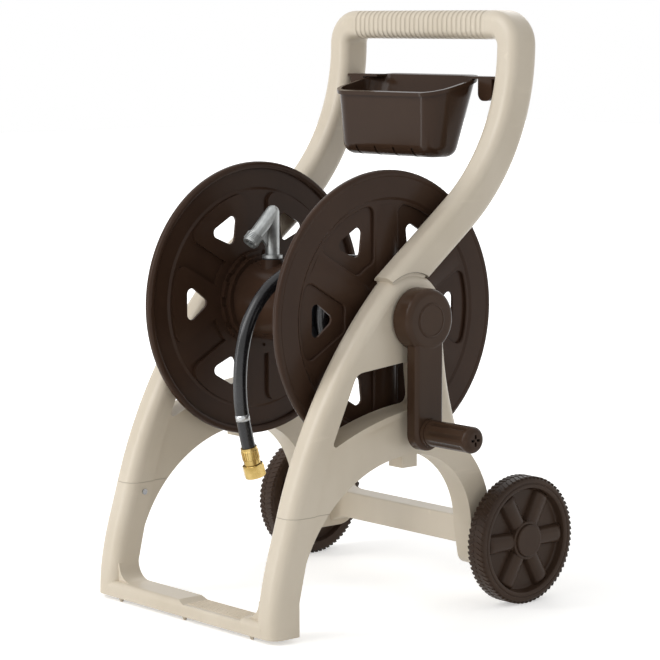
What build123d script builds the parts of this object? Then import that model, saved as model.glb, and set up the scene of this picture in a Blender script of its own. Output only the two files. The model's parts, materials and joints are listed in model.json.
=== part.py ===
import os
from math import ceil, cos, pi, radians, sin, sqrt, tan

from build123d import *

os.makedirs("parts", exist_ok=True)

# Sizes are in millimetres: X towards the crank side, Y to the back, Z up from the ground.
# Side outlines are drawn as (Y, Z) from the reel's axis.

# Fits
running = 0.08  # radial play of a turning pair
slip = 0.2  # play of pieces pushed together
loose = 0.4  # room round pieces that pass each other

# Stance
axle_back = 198
axle_drop = 358
foot_front = 276
spike_length = 7

# Side frames
frame_inner = 171
frame_depth = 47
web_inset = 4
web_overlap = 8
front_round = 18
web_round = 3
hub_r = 68
leg_angle = 135
seam_front = -240
seam_drop = 277
leg_heel = 226
arch_crown = 207
arch_front_r = 228
arch_back_r = 126
arch_band = 42
rear_leg_front = 138
rear_leg_drop = 400
rear_leg_round = 20
rear_shoulder = (112, -208)
axle_boss_r = 42
window_corners = ((-114, -74), (20, -61), (28, -134), (-165, -184))
window_rounds = (20, 14, 14, 5)
window_sill = (-60, -147)
crease_middle = (-197, -285)
spigot_size = 28
spigot_length = 30
spigot_back = 26
catch_size = 30
catch_drop = 20

# Front bar
bar_depth = 50
bar_height = 23
step_lower = 5
step_start = -12
step_end = 140
step_bevel = 16
step_rib = 2
step_rib_height = 1.2
step_rib_count = 7
spike_r = 5
spike_pitch = 160
spike_taper = 20
bar_round = 9
gusset_r = 28
gusset_inset = 12

# Handle
handle_w = 45
handle_t = 57
handle_round = 16
handle_wall = 4
arm_foot = (-28, 40)
arm_angle = 38
arm_straight = 178
handle_back = 236
handle_corner = 32
neck_length = 95

# Rear brace and axle
brace_height = 44
brace_depth = 38
brace_flare = 11
brace_flare_length = 45
axle_r = 6.35
spacer_r = 13
push_nut_r = 11
push_nut_width = 5

# Wheels
wheel_d = 200
wheel_w = 34
wheel_gap = 15
tread_band = 19
tread_round = 6
wheel_web = 6
wheel_recess = 14
wheel_hub_r = 30
wheel_spoke_w = 29
wheel_spoke_rise = 13.4
wheel_spokes = 6
cap_r = 25
cap_wall = 3
cap_height = 4
cap_round = 2

# Reel
flange_d = 438
flange_gap = 294
flange_wall = 4
rim_width = 13
rim_height = 12
rim_round = 5
flange_step_r = 173
flange_step = 8
flange_ring_r = 174
flange_ring_slope = 4
spoke_step = 5.5
spoke_count = 6
spoke_w = 42
spoke_root_bulge = 6
spoke_tip_bulge = 0.6
spoke_root_r = 58
spoke_start_r = 42
spoke_tip_r = 167
panel_root_r = 80
panel_round = 16
panel_edge = 2.5
hub_plate_r = 92
flange_window_r = 122
flange_window_w = 68
flange_window_h = 45
flange_window_round = 9
drum_d = 128
drum_wall = 4
collar_r = 78
collar_step_r = 71
collar_width = 16
collar_step = 8
collar_teeth = 12
collar_notch = 15
trunnion_r = 18
trunnion_bore_r = 11
hub_cone_r = 34
bush_wall = 4
bush_flange = 3
bush_flange_r = 30
thrust_washer = 2.5
clip_r = 25
clip_width = 2.5

# Water way
outlet_x = -90
outlet_y = -18
outlet_tube_r = 11
outlet_bore_r = 6.5
outlet_rise = 72
outlet_reach = 66
outlet_angle = 45
outlet_thread_r = 13.4
outlet_thread_length = 19
outlet_base_r = 16
outlet_base = 5
outlet_web = 6
outlet_seat_r = 19
outlet_seat_z = 68
gasket = 2
water_tube_r = 8.5
water_bore_r = 6
inlet_r = 10.6
inlet_insert = 64
inlet_body_r = 15
inlet_body_length = 30
inlet_drop = 44
inlet_neck_r = 11
seal_r = 1.5
seal_pitch = 12
tube_flange_r = 16
tube_flange = 3
tube_straight = 19
tube_bend_r = 14

# Crank
crank_hub_r = 47
crank_gap = 5
crank_depth = 33
crank_radius = 169
crank_arm_w = 56
crank_arm_t = 21
crank_arm_drop = 1.4
crank_round = 7
crank_hub_round = 9
crank_cap_r = 26
crank_cap_depth = 4
drive_square = 22
drive_length = 14
crank_bolt_r = 5
crank_bolt_length = 30
crank_bolt_head_r = 9
crank_bolt_head = 6
grip_r = 20
grip_length = 96
grip_end_round = 9
grip_slot = 4
grip_slot_length = 7
grip_slot_r = 5.5
grip_pin_r = 6
grip_head_r = 11
grip_head = 4
grip_collar_r = 21.5
grip_collar = 6
grip_end_wall = 3
grip_cavity_r = 9.5
grip_cavity = 10
retainer_r = 8.5
retainer_width = 2.5

# Basket
basket_w = 246
basket_front = 131
basket_back = 241
basket_taper = 12
basket_bottom_front = 137
basket_bottom_back = 202
basket_floor = 229
basket_rim_front = 331
basket_rim_back = 356
basket_corner = 36
basket_floor_corner = 29
basket_floor_round = 20
basket_wall = 2.6
basket_lip = 4
basket_lip_drop = 6
basket_slots = 4
basket_slot_pitch = 43
basket_slot_w = 4
basket_slot_length = 26
basket_slot_rise = 15
hook_width = 30
hook_start = 100
hook_tab_start = 134
hook_tab_end = 164
hook_drop = 34
hook_round = 12
hook_wall = 4
peg_r = 8
peg_back = 228
peg_rise = 343
peg_length = 44

# Hose
hose_d = 21
turn_gap = 0.5
turns = 2.35
turn_pitch = 30
leave_angle = 95
leave_x = 45
hose_end_run = 40
ferrule_r = 12.6
ferrule_length = 24
nut_flats = 31
nut_length = 20
nut_chamfer = 2.5
nut_lip = 3.5
nut_bore_r = 13.4
neck_r = 9
tail_flange = 2.5
hose_bore_r = 7
end_fitting_sleeve = 19
end_fitting_thread = 16
ferrule_plate = 3
washer_bore_r = 8
tail_lead = 35
tail_route = (
    (40, -106, 59),
    (40, -147, 32),
    (40, -176, -9),
    (40, -189, -57),
    (40, -192, -107),
    (41, -188, -156),
    (44, -171.5, -221),
)

# Screws
screw_r = 2.5
screw_head_r = 4.5
screw_head = 2.5
screw_length = 18

# Places that follow from the sizes above
wheel_r = wheel_d / 2
frame_outer = frame_inner + frame_depth
wheel_inner = frame_outer + wheel_gap
wheel_outer = wheel_inner + wheel_w
cap_face = wheel_outer + cap_height
crank_inner = frame_outer + crank_gap
crank_face = crank_inner + crank_depth
crank_arm_face = crank_face - crank_arm_drop
crank_arm_inner = crank_arm_face - crank_arm_t
grip_start = crank_arm_face + loose
grip_end = grip_start + grip_length
reel_z = wheel_r + axle_drop
reel_y = (foot_front - axle_back - wheel_r) / 2
mid_x = (cap_face - grip_end) / 2
foot_bottom = spike_length - reel_z
flange_r = flange_d / 2
flange_inner = flange_gap / 2
drum_r = drum_d / 2
hose_r = hose_d / 2
bush_r = trunnion_r + running + bush_wall
hub_face = frame_inner - bush_flange - thrust_washer - 2 * loose
arm_x = frame_inner + frame_depth / 2
sides = {"left": -1, "right": 1}


def side_plane(x):
    return Plane((mid_x + x, reel_y, reel_z), x_dir=(0, 1, 0), z_dir=(1, 0, 0))


def at(x, y, z):
    return Vector(mid_x + x, reel_y + y, reel_z + z)


# An upright plane across the cart: local x is X, local y is Z, drawn as seen from the front
def cross_plane(x, y, z):
    return Plane(at(x, y, z), x_dir=(1, 0, 0), z_dir=(0, -1, 0))


def polar(r, angle):
    return (r * cos(radians(angle)), r * sin(radians(angle)))


def finish(piece, name):
    piece.part.label = name
    export_step(piece.part, f"parts/{name}.step")


# Handle and side frame share the line of the arm
arm_dir = polar(1, arm_angle)
arm_bend = (arm_foot[0] + arm_straight * arm_dir[0], arm_foot[1] + arm_straight * arm_dir[1])
bend_r = (handle_back - arm_bend[0]) / (1 - arm_dir[1])
bend_end_z = arm_bend[1] + bend_r * arm_dir[0]
bend_middle = polar(bend_r, (arm_angle - 90) / 2)
bar_z = bend_end_z + handle_corner


def arm_plane(sign):
    return Plane(at(sign * arm_x, *arm_foot), x_dir=(1, 0, 0), z_dir=(0, *arm_dir))


def frame_outline():
    front_centre = -arch_crown - arch_front_r
    heel = (-leg_heel, front_centre + sqrt(arch_front_r**2 - leg_heel**2))
    crown = (0, -arch_crown)
    back_centre = -arch_crown - arch_back_r
    band_r = arch_back_r + arch_band
    with BuildLine() as edge:
        add(front_arc)
        add(shin)
        Polyline((-foot_front, foot_bottom), (-leg_heel, foot_bottom), heel)
        TangentArc(crown, heel, tangent=(-1, 0))
        TangentArc(crown, (arch_back_r, back_centre), tangent=(1, 0))
        Polyline(
            (arch_back_r, back_centre),
            (rear_leg_front, -rear_leg_drop),
            (axle_back, -rear_leg_drop),
            (axle_back, back_centre),
            (band_r, back_centre),
        )
        RadiusArc((band_r, back_centre), rear_shoulder, -band_r)
        add(rear_arc)
        Line((hub_r, 0), polar(hub_r, leg_angle))
    make_face(edge.edges())
    Circle(hub_r)
    fillet(vertices().sort_by_distance(Vector(rear_leg_front, -rear_leg_drop))[0], radius=rear_leg_round)
    with Locations((axle_back, -axle_drop)):
        Circle(axle_boss_r)
    with BuildLine() as opening:
        Polyline(*window_corners[:3])
        ThreePointArc(window_corners[2], window_sill, window_corners[3])
        Line(window_corners[3], window_corners[0])
    make_face(opening.edges(), mode=Mode.SUBTRACT)
    for corner, round_r in zip(window_corners, window_rounds):
        fillet(vertices().sort_by_distance(Vector(*corner))[0], radius=round_r)


# The web behind the crease of the leg lies a little deeper than the leg itself
def web_zone(overlap, mode):
    far = 2 * foot_front
    heel = (-leg_heel - overlap, -rear_leg_drop)
    crotch = (window_corners[3][0] - overlap, window_corners[3][1] + overlap)
    lintel = (window_corners[2][0], window_corners[2][1] + overlap)
    shoulder = (rear_shoulder[0], rear_shoulder[1] + overlap)
    with BuildLine() as edge:
        ThreePointArc(crotch, (crease_middle[0] - overlap, crease_middle[1]), heel)
        Polyline(heel, (heel[0], -far), (far, -far), (far, shoulder[1]), shoulder, lintel, crotch)
    make_face(edge.edges(), mode=mode)


def side_shell(sign):
    with BuildSketch(side_plane(sign * frame_inner)) as leg:
        frame_outline()
        web_zone(0, Mode.SUBTRACT)
    extrude(leg.sketch, amount=sign * frame_depth)
    round_edges(sign, frame_inner, frame_outer, [front_middle, shin_middle], front_round)
    with BuildSketch(side_plane(sign * (frame_inner + web_inset))) as web:
        frame_outline()
        web_zone(web_overlap, Mode.INTERSECT)
    extrude(web.sketch, amount=sign * (frame_depth - 2 * web_inset))


# Rounds the edges of one side that pass through the given points of its two faces
def round_edges(sign, near, far, points, radius):
    chosen = ShapeList()
    for x in (near, far):
        for point in points:
            chosen.append(edges().sort_by_distance(at(sign * x, *point))[0])
    fillet(chosen, radius=radius)


front_arc = TangentArc(polar(hub_r, leg_angle), (seam_front, -seam_drop), tangent=polar(1, leg_angle + 90))
rear_arc = TangentArc((hub_r, 0), rear_shoulder, tangent=(0, -1))
front_middle = (front_arc @ 0.5).X, (front_arc @ 0.5).Y
shin = Spline((seam_front, -seam_drop), (-foot_front, foot_bottom), tangents=(front_arc % 1, (0, -1)))
shin_middle = (shin @ 0.5).X, (shin @ 0.5).Y
spigot_y = seam_front + spigot_back
foot_screw = (spigot_y, -seam_drop - spigot_length / 2)
neck_screw = (arm_foot[0] + 0.75 * neck_length * arm_dir[0], arm_foot[1] + 0.75 * neck_length * arm_dir[1])


# Everything of a side below the seam and ahead of the reel's axis belongs to the foot
def foot_zone(mode):
    with BuildSketch(Plane(at(0, -foot_front, -seam_drop))) as zone:
        Rectangle(4 * frame_outer, 2 * foot_front)
    extrude(zone.sketch, amount=-reel_z, mode=mode)


def spigot_block(sign, play, mode):
    with BuildSketch(Plane(at(sign * arm_x, spigot_y, -seam_drop))) as block:
        RectangleRounded(spigot_size + 2 * play, spigot_size + 2 * play, web_round)
    extrude(block.sketch, amount=-spigot_length - play, mode=mode)


def screw_hole(sign, face, place):
    with BuildSketch(side_plane(sign * face)) as hole:
        with Locations(place):
            Circle(screw_r + slip)
    extrude(hole.sketch, amount=sign * (screw_length + slip), mode=Mode.SUBTRACT)


for side, sign in sides.items():
    with BuildPart() as side_frame:
        side_shell(sign)
        foot_zone(Mode.SUBTRACT)
        with BuildSketch(arm_plane(sign)) as neck:
            fit = handle_wall + slip
            RectangleRounded(handle_w - 2 * fit, handle_t - 2 * fit, handle_round - handle_wall)
        extrude(neck.sketch, amount=neck_length)
        spigot_block(sign, 0, Mode.ADD)
        with BuildSketch(side_plane(sign * (arm_x - catch_size / 2))) as catch:
            with Locations((0, -arch_crown)):
                Rectangle(catch_size, 2 * catch_drop)
        extrude(catch.sketch, amount=sign * catch_size)
        with BuildSketch(side_plane(sign * frame_inner)) as bores:
            Circle(bush_r + slip)
            with Locations((axle_back, -axle_drop)):
                Circle(axle_r + slip)
        extrude(bores.sketch, amount=sign * frame_depth, mode=Mode.SUBTRACT)
        screw_hole(sign, frame_inner, foot_screw)
        screw_hole(sign, frame_inner, neck_screw)
    finish(side_frame, f"side_frame_{side}")

with BuildPart() as front_foot:
    for sign in sides.values():
        side_shell(sign)
    foot_zone(Mode.INTERSECT)
    bar_end = frame_inner + front_round
    with BuildSketch(side_plane(-bar_end)):
        with Locations((-foot_front + bar_depth / 2, foot_bottom + bar_height / 2)):
            Rectangle(bar_depth, bar_height)
        fillet(vertices().group_by(Axis.Y)[-1].sort_by(Axis.X)[0], radius=bar_round)
    extrude(amount=2 * bar_end)
    for sign in sides.values():
        bar_top = cross_plane(0, -foot_front + bar_depth, foot_bottom + bar_height)
        with BuildSketch(bar_top):
            with BuildLine():
                low = (sign * (frame_inner - gusset_r), 0)
                high = (sign * frame_inner, gusset_r)
                TangentArc(low, high, tangent=(sign, 0))
                Polyline(high, (sign * bar_end, gusset_r), (sign * bar_end, 0), low)
            make_face()
        extrude(amount=bar_depth - gusset_inset)
    with BuildSketch(cross_plane(0, -foot_front + bar_depth, foot_bottom + bar_height)):
        with BuildLine():
            Polyline(
                (step_start, 0),
                (step_start + step_bevel, -step_lower),
                (step_end, -step_lower),
                (step_end, 0),
                close=True,
            )
        make_face()
    extrude(amount=bar_depth, mode=Mode.SUBTRACT)
    rib_room = (bar_depth - bar_round) / step_rib_count
    rib_length = step_end - step_start - step_bevel
    for row in range(step_rib_count):
        rib_y = -foot_front + bar_depth - (row + 0.5) * rib_room
        with BuildSketch(Plane(at(step_end - rib_length / 2, rib_y, foot_bottom + bar_height - step_lower))):
            Rectangle(rib_length, step_rib)
        extrude(amount=step_rib_height)
    for place in (-1, 0, 1):
        with BuildSketch(Plane(at(place * spike_pitch, -foot_front + spike_r + web_round, foot_bottom))):
            Circle(spike_r)
        extrude(amount=-spike_length, taper=spike_taper)
    for sign in sides.values():
        spigot_block(sign, slip, Mode.SUBTRACT)
        screw_hole(sign, frame_inner, foot_screw)
finish(front_foot, "front_foot")

with BuildPart() as handle:
    with BuildLine() as tube_path:
        for sign in sides.values():
            foot = at(sign * arm_x, *arm_foot)
            bend = at(sign * arm_x, *arm_bend)
            bend_end = at(sign * arm_x, handle_back, bend_end_z)
            middle = at(sign * arm_x, handle_back - bend_r + bend_middle[0], bend_end_z + bend_middle[1])
            corner_middle = at(
                sign * (arm_x - handle_corner + polar(handle_corner, 45)[0]),
                handle_back,
                bend_end_z + polar(handle_corner, 45)[1],
            )
            bar_end = at(sign * (arm_x - handle_corner), handle_back, bar_z)
            Line(foot, bend)
            ThreePointArc(bend, middle, bend_end)
            ThreePointArc(bend_end, corner_middle, bar_end)
        Line(at(-arm_x + handle_corner, handle_back, bar_z), at(arm_x - handle_corner, handle_back, bar_z))
    with BuildSketch(arm_plane(-1)):
        RectangleRounded(handle_w, handle_t, handle_round)
    sweep(path=tube_path.wires()[0])
    for sign in sides.values():
        with BuildSketch(arm_plane(sign)) as socket:
            socket_w = handle_w - 2 * handle_wall
            RectangleRounded(socket_w, handle_t - 2 * handle_wall, handle_round - handle_wall)
        extrude(socket.sketch, amount=neck_length + slip, mode=Mode.SUBTRACT)
        with BuildSketch(side_plane(sign * frame_inner)) as saddle:
            Circle(hub_r + slip)
        extrude(saddle.sketch, amount=sign * frame_depth, mode=Mode.SUBTRACT)
        screw_hole(sign, frame_inner, neck_screw)
finish(handle, "handle")

with BuildPart() as rear_brace:
    brace_end = frame_inner + web_inset
    flat = brace_end - brace_flare_length
    with BuildSketch(cross_plane(0, axle_back - brace_depth / 2, -axle_drop)):
        with BuildLine():
            for end in (-1, 1):
                for level in (-1, 1):
                    waist = (end * flat, level * brace_height / 2)
                    tip = (end * brace_end, level * (brace_height / 2 + brace_flare))
                    TangentArc(waist, tip, tangent=(end, 0))
                tip_z = brace_height / 2 + brace_flare
                Line((end * brace_end, -tip_z), (end * brace_end, tip_z))
            for level in (-1, 1):
                Line((-flat, level * brace_height / 2), (flat, level * brace_height / 2))
        make_face()
    extrude(amount=-brace_depth)
    fillet(edges().filter_by(Axis.X), radius=web_round)
    with BuildSketch(side_plane(-brace_end)):
        with Locations((axle_back, -axle_drop)):
            Circle(axle_r + slip)
    extrude(amount=2 * brace_end, mode=Mode.SUBTRACT)
finish(rear_brace, "rear_brace")

with BuildPart() as axle:
    with BuildSketch(side_plane(-wheel_outer)):
        with Locations((axle_back, -axle_drop)):
            Circle(axle_r)
    extrude(amount=2 * wheel_outer)
finish(axle, "axle")


# A ring round an axis along X that starts at x and runs outwards on the given side
def ring(sign, x, width, outer_r, inner_r, place=(0, 0)):
    with BuildSketch(side_plane(sign * x)) as face:
        with Locations(place):
            Circle(outer_r)
            Circle(inner_r, mode=Mode.SUBTRACT)
    extrude(face.sketch, amount=sign * width)


axle_place = (axle_back, -axle_drop)
cap_seat = wheel_outer - push_nut_width - slip

with BuildPart() as axle_spacers:
    for sign in sides.values():
        spacer_x = frame_outer - web_inset
        ring(sign, spacer_x, wheel_inner - loose - spacer_x, spacer_r, axle_r + slip, axle_place)
finish(axle_spacers, "axle_spacers")

with BuildPart() as push_nuts:
    for sign in sides.values():
        ring(sign, wheel_outer - push_nut_width, push_nut_width, push_nut_r, axle_r + slip, axle_place)
finish(push_nuts, "push_nuts")


# One end of a half-round bar that stands on a face: a chord with a bulge towards +Y of its plane
def bulge(plane, width, height):
    with BuildSketch(plane) as section:
        with BuildLine() as edge:
            ThreePointArc((-width / 2, 0), (0, height), (width / 2, 0))
            Line((-width / 2, 0), (width / 2, 0))
        make_face(edge.edges())
    return section.sketch


# The plane that cuts a radial bar, with +Y of the plane pointing out of the given side
def radial_plane(sign, x, place, angle, r):
    out = polar(1, angle)
    origin = at(sign * x, place[0] + r * out[0], place[1] + r * out[1])
    return Plane(origin, x_dir=(0, -sign * out[1], sign * out[0]), z_dir=(0, *out))


axle_line = Axis(at(0, *axle_place), (1, 0, 0))
reel_line = Axis(at(0, 0, 0), (1, 0, 0))

for side, sign in sides.items():
    web_face = wheel_outer - wheel_recess
    with BuildPart() as wheel:
        with BuildSketch(cross_plane(0, *axle_place)):
            with Locations((sign * (wheel_inner + wheel_w / 2), wheel_r - tread_band / 2)):
                RectangleRounded(wheel_w, tread_band, tread_round)
            with Locations((sign * (web_face - wheel_web / 2), (wheel_r - tread_band + wheel_hub_r) / 2)):
                Rectangle(wheel_web, wheel_r - tread_band - wheel_hub_r + 2 * web_round)
            with Locations((sign * (wheel_inner + wheel_w / 2), (axle_r + running + wheel_hub_r) / 2)):
                Rectangle(wheel_w, wheel_hub_r - axle_r - running)
        revolve(axis=axle_line)
        for spoke in range(wheel_spokes):
            angle = 360 / wheel_spokes * spoke
            reach = (wheel_hub_r - web_round, wheel_r - tread_band + web_round)
            ends = [radial_plane(sign, web_face - slip, axle_place, angle, r) for r in reach]
            loft([bulge(plane, wheel_spoke_w, wheel_spoke_rise) for plane in ends])
        with BuildSketch(side_plane(sign * cap_seat)) as pocket:
            with Locations(axle_place):
                Circle(cap_r + slip)
        extrude(pocket.sketch, amount=sign * wheel_w, mode=Mode.SUBTRACT)
    finish(wheel, f"wheel_{side}")

    with BuildPart() as wheel_cap:
        ring(sign, cap_seat, wheel_outer - cap_seat + cap_height / 2, cap_r, cap_r - cap_wall, axle_place)
        with BuildSketch(side_plane(sign * (wheel_outer + loose))) as dome:
            with Locations(axle_place):
                Circle(cap_r)
        extrude(dome.sketch, amount=sign * (cap_height - loose))
        outermost = edges().filter_by(GeomType.CIRCLE).sort_by(Axis(axle_line.position, (sign, 0, 0)))[-1]
        fillet(outermost, radius=cap_round)
    finish(wheel_cap, f"wheel_cap_{side}")


# Flange: a rounded rim, a flat ring and a step down to spokes, which run in to the hub between panels
spoke_angles = [90 + 360 / spoke_count * spoke for spoke in range(spoke_count)]
plate = flange_inner + flange_wall
ledge = flange_inner + flange_step
ring_face = ledge + flange_wall
spoke_ledge = flange_inner + spoke_step
spoke_face = spoke_ledge + flange_wall
ring_r = flange_ring_r + flange_ring_slope
clip_end = frame_outer + clip_width + 2 * loose


# The panels between the spokes, each drawn in by the given wall
def panel_faces(wall):
    Circle(flange_step_r - wall)
    Circle(panel_root_r + wall, mode=Mode.SUBTRACT)
    with PolarLocations(flange_r / 2, spoke_count, start_angle=spoke_angles[0]):
        Rectangle(flange_r, spoke_w + 2 * wall, mode=Mode.SUBTRACT)
    fillet(vertices(), radius=panel_round - wall)


for side, sign in sides.items():
    with BuildPart() as flange:
        with BuildSketch(cross_plane(0, 0, 0)):
            with BuildLine():
                Polyline(
                    (sign * flange_inner, 0),
                    (sign * flange_inner, hub_plate_r),
                    (sign * spoke_ledge, hub_plate_r),
                    (sign * spoke_ledge, flange_ring_r),
                    (sign * ledge, ring_r),
                    (sign * ledge, flange_r - rim_height / 2),
                    (sign * ring_face, flange_r - rim_height / 2),
                    (sign * ring_face, ring_r),
                    (sign * spoke_face, flange_ring_r),
                    (sign * spoke_face, spoke_root_r),
                    (sign * hub_face, hub_cone_r),
                    (sign * hub_face, 0),
                    close=True,
                )
            make_face()
            with Locations((sign * (flange_inner + rim_width / 2), flange_r - rim_height / 2)):
                RectangleRounded(rim_width, rim_height, rim_round)
        revolve(axis=reel_line)
        with BuildSketch(side_plane(sign * flange_inner)) as pads:
            panel_faces(0)
        extrude(pads.sketch, amount=sign * (spoke_face - flange_inner))
        with BuildSketch(side_plane(sign * plate)) as pockets:
            panel_faces(flange_wall)
        extrude(pockets.sketch, amount=sign * spoke_step, mode=Mode.SUBTRACT)
        face_x = mid_x + sign * spoke_face
        brims = edges().filter_by_position(Axis.X, face_x - slip, face_x + slip)
        fillet(brims.filter_by(lambda edge: not edge.is_closed), radius=panel_edge)
        for angle in spoke_angles:
            reach = (spoke_start_r, spoke_tip_r)
            ends = [radial_plane(sign, spoke_face - slip, (0, 0), angle, r) for r in reach]
            rises = (spoke_root_bulge, spoke_tip_bulge)
            loft([bulge(end, spoke_w, rise + slip) for end, rise in zip(ends, rises)])
        with BuildSketch(side_plane(sign * (flange_inner - flange_wall))) as windows:
            between = spoke_angles[0] + 180 / spoke_count
            with PolarLocations(flange_window_r, spoke_count, start_angle=between):
                Polygon(
                    (-flange_window_h / 2, 0),
                    (flange_window_h / 2, -flange_window_w / 2),
                    (flange_window_h / 2, flange_window_w / 2),
                    align=None,
                )
            fillet(vertices(), radius=flange_window_round)
        extrude(windows.sketch, amount=sign * frame_depth, mode=Mode.SUBTRACT)
        with BuildSketch(side_plane(sign * (hub_face - slip))) as trunnion:
            Circle(trunnion_r)
        trunnion_end = crank_inner if sign > 0 else clip_end
        extrude(trunnion.sketch, amount=sign * (trunnion_end - hub_face + slip))
        if sign > 0:
            with BuildSketch(side_plane(crank_inner - slip)) as drive:
                Rectangle(drive_square, drive_square)
            extrude(drive.sketch, amount=drive_length + slip)
            with BuildSketch(side_plane(crank_inner + drive_length)) as thread:
                Circle(crank_bolt_r + slip)
            extrude(thread.sketch, amount=-crank_bolt_length, mode=Mode.SUBTRACT)
        else:
            with BuildSketch(side_plane(-flange_inner)) as water_bore:
                Circle(trunnion_bore_r)
            extrude(water_bore.sketch, amount=flange_inner - clip_end, mode=Mode.SUBTRACT)
    finish(flange, f"reel_flange_{side}")

    with BuildPart() as bush:
        ring(sign, frame_inner - bush_flange, bush_flange, bush_flange_r, trunnion_r + running)
        ring(sign, frame_inner - bush_flange, bush_flange + frame_depth, bush_r, trunnion_r + running)
    finish(bush, f"hub_bush_{side}")

    with BuildPart() as collar:
        ring(sign, flange_inner - collar_width, collar_width, collar_step_r, drum_r + slip)
        ring(sign, flange_inner - collar_step, collar_step, collar_r, drum_r + slip)
        with BuildSketch(side_plane(sign * (flange_inner - collar_width))) as notches:
            with PolarLocations(collar_r, collar_teeth):
                Rectangle(collar_r - drum_r, collar_notch)
        extrude(notches.sketch, amount=sign * (collar_width - collar_step / 2), mode=Mode.SUBTRACT)
    finish(collar, f"drum_collar_{side}")

with BuildPart() as thrust_washers:
    for sign in sides.values():
        ring(sign, hub_face + loose, thrust_washer, bush_flange_r, trunnion_r + loose)
finish(thrust_washers, "thrust_washers")

with BuildPart() as trunnion_clip:
    ring(-1, frame_outer + loose, clip_width, clip_r, trunnion_r + slip)
finish(trunnion_clip, "trunnion_clip")

# Drum and water way: in at the left hub, through the drum and out of the gooseneck
with BuildPart() as reel_drum:
    with BuildSketch(side_plane(-flange_inner)):
        Circle(drum_r)
    extrude(amount=flange_gap)
    with BuildSketch(Plane(at(outlet_x, outlet_y, 0))):
        Circle(outlet_seat_r)
    extrude(amount=outlet_seat_z)
    with BuildSketch(side_plane(-flange_inner)):
        Circle(drum_r - drum_wall)
    extrude(amount=flange_gap, mode=Mode.SUBTRACT)
    with BuildSketch(Plane(at(outlet_x, outlet_y, 0))):
        Circle(water_tube_r + slip)
    extrude(amount=drum_d, mode=Mode.SUBTRACT)
finish(reel_drum, "reel_drum")

with BuildPart() as outlet_gasket:
    with BuildSketch(Plane(at(outlet_x, outlet_y, outlet_seat_z))):
        Circle(outlet_base_r)
        Circle(outlet_bore_r, mode=Mode.SUBTRACT)
    extrude(amount=gasket)
finish(outlet_gasket, "outlet_gasket")

apex_z = outlet_seat_z + gasket + outlet_rise
spout_dir = Vector(0, -cos(radians(outlet_angle)), -sin(radians(outlet_angle)))
spout_plane = Plane(at(outlet_x, outlet_y, apex_z), x_dir=(1, 0, 0), z_dir=spout_dir)

with BuildPart() as outlet_gooseneck:
    with BuildSketch(Plane(at(outlet_x, outlet_y, outlet_seat_z + gasket))) as base:
        Circle(outlet_base_r)
    extrude(base.sketch, amount=outlet_base)
    with BuildSketch(Plane(at(outlet_x, outlet_y, outlet_seat_z + gasket))) as riser:
        Circle(outlet_tube_r)
    extrude(riser.sketch, amount=outlet_rise)
    with Locations(at(outlet_x, outlet_y, apex_z)):
        Sphere(outlet_tube_r)
    with BuildSketch(spout_plane) as spout:
        Circle(outlet_tube_r)
    extrude(spout.sketch, amount=outlet_reach)
    with BuildSketch(spout_plane.offset(outlet_reach - outlet_thread_length)) as thread:
        Circle(outlet_thread_r)
    extrude(thread.sketch, amount=outlet_thread_length)
    with BuildSketch(side_plane(outlet_x - outlet_web / 2)) as gusset:
        along = polar(outlet_reach - outlet_thread_length - web_round, 180 + outlet_angle)
        corner = (outlet_y + along[0], apex_z + along[1])
        Polygon((outlet_y, apex_z), corner, (outlet_y, outlet_seat_z + gasket + outlet_base), align=None)
    extrude(gusset.sketch, amount=outlet_web)
    with BuildSketch(Plane(at(outlet_x, outlet_y, outlet_seat_z + gasket))) as riser_bore:
        Circle(outlet_bore_r)
    extrude(riser_bore.sketch, amount=outlet_rise, mode=Mode.SUBTRACT)
    with Locations(at(outlet_x, outlet_y, apex_z)):
        Sphere(outlet_bore_r, mode=Mode.SUBTRACT)
    with BuildSketch(spout_plane) as spout_bore:
        Circle(outlet_bore_r)
    extrude(spout_bore.sketch, amount=outlet_reach, mode=Mode.SUBTRACT)
finish(outlet_gooseneck, "outlet_gooseneck")

with BuildPart() as water_tube:
    with BuildLine() as tube_line:
        FilletPolyline(
            at(-flange_inner, 0, 0),
            at(-flange_inner + tube_straight, 0, 0),
            at(outlet_x, outlet_y, 0),
            at(outlet_x, outlet_y, outlet_seat_z),
            radius=tube_bend_r,
        )
    with BuildSketch(side_plane(-flange_inner)) as tube_wall:
        Circle(water_tube_r)
    sweep(tube_wall.sketch, path=tube_line.wires()[0])
    ring(-1, flange_inner - tube_flange, tube_flange, tube_flange_r, water_bore_r)
    with BuildSketch(side_plane(-flange_inner)) as tube_bore:
        Circle(water_bore_r)
    sweep(tube_bore.sketch, path=tube_line.wires()[0], mode=Mode.SUBTRACT)
finish(water_tube, "water_tube")

inlet_face = clip_end + loose
inlet_x = -inlet_face - inlet_body_length / 2
seal_places = [inlet_face - inlet_insert + seal_pitch * (1 + place) for place in range(2)]

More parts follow.
